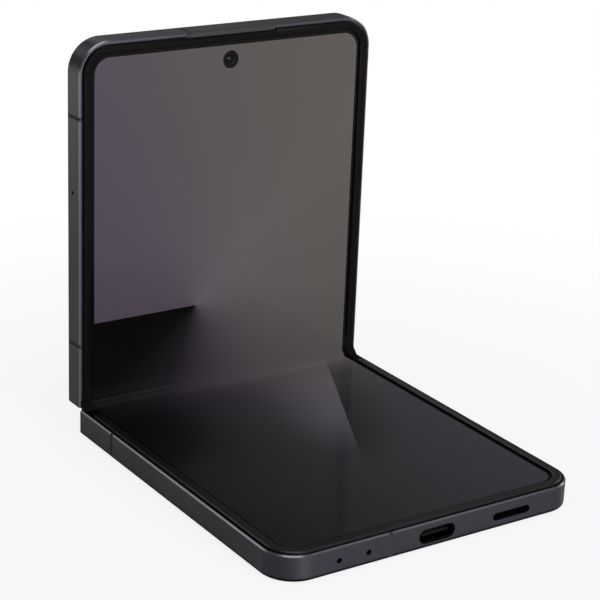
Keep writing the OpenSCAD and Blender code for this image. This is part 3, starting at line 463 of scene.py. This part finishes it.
# Spine: an anodised aluminium cover over the hinge. Inside are steel blocks and arms with curved rails,
# geared by steel pinions and brass idlers, with leaf springs and screws.
def metal(name, tone, rough, stretch=(1, 1, 1)):
    finish = Finish(name, Metallic=1.0)
    lines = finish.noise(0.2 * MM, 3, stretch)
    finish.feed(Base_Color=finish.mix(lines, scaled(tone, 0.85), tone), Roughness=rough + 0.15 * lines)
    return finish.bump(lines, 0.003 * MM)


dress(anodised("graphite_spine", (0.06, 0.058, 0.068)), "spine_cover")
steel = metal("machined_steel", (0.55, 0.55, 0.57), 0.25, (0.1, 1, 1))
dress(steel, "arms_lower", "arms_upper", "arm_screws_lower", "arm_screws_upper", "hinge_blocks",
      "block_screws", "friction_springs", "pinion_lower", "pinion_upper")
dress(metal("machined_brass", (0.72, 0.58, 0.3), 0.3), "idler_lower", "idler_upper")

# Flexible circuit: an amber film with copper inside, which joins the boards of both halves. It is
# clamped at both ends and bends through the spine.
amber = plastic("amber_film", (0.5, 0.2, 0.03), 0.3)
clamped = Vector((0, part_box("hinge_flex")[0][1] + 2 * MM, 4 * MM))
for half in ("lower", "upper"):
    bm = bmesh.new()
    bm.from_mesh(nodes["hinge_flex"].data)
    bmesh.ops.remove_doubles(bm, verts=bm.verts, dist=JOINED)
    halved = bmesh.ops.bisect_plane(
        bm, geom=bm.verts[:] + bm.edges[:] + bm.faces[:], plane_co=BEND_MIDDLE, plane_no=FOLD_NORMAL,
        clear_outer=half == "lower", clear_inner=half == "upper")
    cut_edges = [part for part in halved["geom_cut"] if isinstance(part, bmesh.types.BMEdge)]
    bmesh.ops.holes_fill(bm, edges=cut_edges)
    circuit = finished("flex_" + half, bm, amber, None, "hinge_flex")
    if half == "lower":
        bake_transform(circuit)
    else:
        over_the_spine(clamped)
        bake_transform(circuit)

# Charging socket: a deep-drawn steel shell, blackened inside, round a moulded tongue. Twelve gold-plated
# contacts lie on each face of the tongue. The shell is soldered to the sub board.
CONTACTS, CONTACT_PITCH, CONTACT_SIZE = 12, 0.5 * MM, (0.26 * MM, 3.2 * MM, 0.02 * MM)
dark_steel = metal("blackened_steel", (0.004, 0.004, 0.0045), 0.45)
dress(dark_steel, "usb_shell")
dress(plastic("tongue_black", (0.002, 0.002, 0.002), 0.6, Specular_IOR_Level=0.05), "usb_tongue")
gold = metal("gold_plating", (0.83, 0.62, 0.27), 0.25)
low_corner, high_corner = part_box("usb_tongue")
bm = bmesh.new()
for k in range(CONTACTS):
    x = (k - (CONTACTS - 1) / 2) * CONTACT_PITCH
    for face_z, out in ((high_corner[2], 1), (low_corner[2], -1)):
        pad = bmesh.ops.create_cube(bm, size=1.0)["verts"]
        bmesh.ops.scale(bm, vec=CONTACT_SIZE, verts=pad)
        z = face_z + out * CONTACT_SIZE[2] / 2
        bmesh.ops.translate(bm, vec=(x, low_corner[1] + 2.2 * MM, z), verts=pad)
finished("socket_contacts", bm, gold, "lower_half")

# Speaker: a fine punched steel mesh, blackened, is glued behind the slot in front of the speaker's box.
# Its square holes are punched in one sheet.
MESH_T, MESH_BAR = 0.3 * MM, 0.11 * MM
low_corner, high_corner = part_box("speaker_mesh")
mesh_size = Vector(high_corner) - Vector(low_corner)
bm = bmesh.new()
bmesh.ops.create_grid(bm, x_segments=22, y_segments=6, size=0.5)
bmesh.ops.scale(bm, vec=(mesh_size.x, mesh_size.z, 1), verts=bm.verts)
punched = bmesh.ops.inset_individual(bm, faces=bm.faces[:], thickness=MESH_BAR)
holes = [face for face in bm.faces if face not in punched["faces"]]
bmesh.ops.delete(bm, geom=holes, context="FACES")
sheet = bmesh.ops.extrude_face_region(bm, geom=bm.faces[:])
behind = [part for part in sheet["geom"] if isinstance(part, bmesh.types.BMVert)]
bmesh.ops.translate(bm, vec=(0, 0, -MESH_T), verts=behind)
bmesh.ops.recalc_face_normals(bm, faces=bm.faces)
middle = (Vector(low_corner) + Vector(high_corner)) / 2
grille_seat = Vector((middle.x, low_corner[1], middle.z))
finished("speaker_grille", set_down(bm, grille_seat, TO_SCREEN), dark_steel, "lower_half", "speaker_mesh")

# Inner pieces: foil-wrapped cells, boards with solder mask, shield cans, the card reader, the haptic
# motor and the charging coil.
dress(steel, "haptic_motor", "shield_cans", "card_reader")
dress(gold, "key_switches")
dress(metal("copper_wire", (0.72, 0.34, 0.18), 0.3), "charging_coil")
dress(plastic("foil_wrap", (0.02, 0.02, 0.023), 0.35, 0.8 * MM), "battery_lower", "battery_upper")
dress(plastic("solder_mask", (0.01, 0.06, 0.03), 0.3, 0.5 * MM), "main_board", "sub_board")

# Floor: a plain white sheet under the lower half, on which the phone lies at every fold. It takes the
# soft shadow close by and fades to plain white. From underneath it is clear, and the part that the phone
# covers lights the phone's underside.
FLOOR_HALF, FLOOR_DROP = 6.0, 0.01 * MM
COVERED_HALF, COVERED_FRONT, COVERED_GAP = 33 * MM, -37 * MM, 2 * MM
bm = bmesh.new()
bmesh.ops.create_grid(bm, x_segments=1, y_segments=1, size=FLOOR_HALF)
bmesh.ops.translate(bm, vec=(0, 0, -FLOOR_DROP), verts=bm.verts)
paper = Finish("white_paper", Roughness=0.9, Specular_IOR_Level=0.0, Base_Color=(0.66, 0.66, 0.66, 1))
finished("floor", bm, paper, "lower_half")
distance = paper.node("ShaderNodeVectorMath", {"operation": "LENGTH"}, {0: paper.place}, out="Value")
seen, mirrored, through = (
    paper.node("ShaderNodeLightPath", out=ray)
    for ray in ("Is Camera Ray", "Is Glossy Ray", "Is Transmission Ray"))
ray_length = paper.node("ShaderNodeLightPath", out="Ray Length")
under_phone = (paper.x.maths("ABSOLUTE", paper.x) < COVERED_HALF) * (paper.y > COVERED_FRONT)
covered = (ray_length < COVERED_GAP) * under_phone
plain = (seen + through) * distance.ramp(0.05, 0.22, 0.86, 1.0) + mirrored * distance.ramp(0.15, 0.42)
plain = plain + 0.5 * covered
white = paper.node("ShaderNodeEmission", {}, {"Color": (1, 1, 1, 1), "Strength": 1.0})
lying = paper.node("ShaderNodeMixShader", {}, {0: plain, 1: Wire(paper, paper.surface.outputs[0]), 2: white})
clear = paper.node("ShaderNodeBsdfTransparent")
underneath = paper.node("ShaderNodeNewGeometry", out="Backfacing")
paper_face = paper.node("ShaderNodeMixShader", {}, {0: underneath, 1: lying, 2: clear})
paper.tree.links.new(paper_face.socket, paper.tree.nodes["Material Output"].inputs["Surface"])

# Light: a dim studio with a white background, a large soft box above and weaker ones round the phone.
world = bpy.data.worlds.new("studio")
bpy.context.scene.world = world
world.use_nodes = True
studio = Patch(world.node_tree)
backdrop = studio.node("ShaderNodeLightPath", out="Is Camera Ray") + studio.node(
    "ShaderNodeLightPath", out="Is Transmission Ray")
walls = studio.mix(backdrop, (0.12, 0.12, 0.122), (1, 1, 1))
studio.tree.links.new(walls.socket, studio.tree.nodes["Background"].inputs["Color"])
AIM = Vector((0, 0.02, 0.03))
for name, place, size, power in (
        ("soft_box_top", (-0.15, -0.25, 1.1), 0.9, 4.2),
        ("soft_box_back", (-0.5, 0.9, 0.8), 0.6, 1.5),
        ("soft_box_rear", (0.35, 0.95, 0.8), 0.5, 0.9),
        ("soft_box_right", (0.95, 0.1, 0.5), 0.5, 2.2),
        ("soft_box_low", (0.05, -1.0, 0.15), 0.3, 16.0),
        ("soft_box_front", (0.2385, -0.195, 0.357), 0.18, 0.05)):
    lamp = bpy.data.objects.new(name, bpy.data.lights.new(name, "AREA"))
    lamp.data.shape, lamp.data.size, lamp.data.energy = "SQUARE", size, power
    lamp.location, lamp.visible_camera = place, False
    lamp.rotation_euler = (AIM - Vector(place)).to_track_quat("-Z", "Y").to_euler()
    bpy.context.scene.collection.objects.link(lamp)

bpy.context.scene.view_settings.view_transform = "Standard"
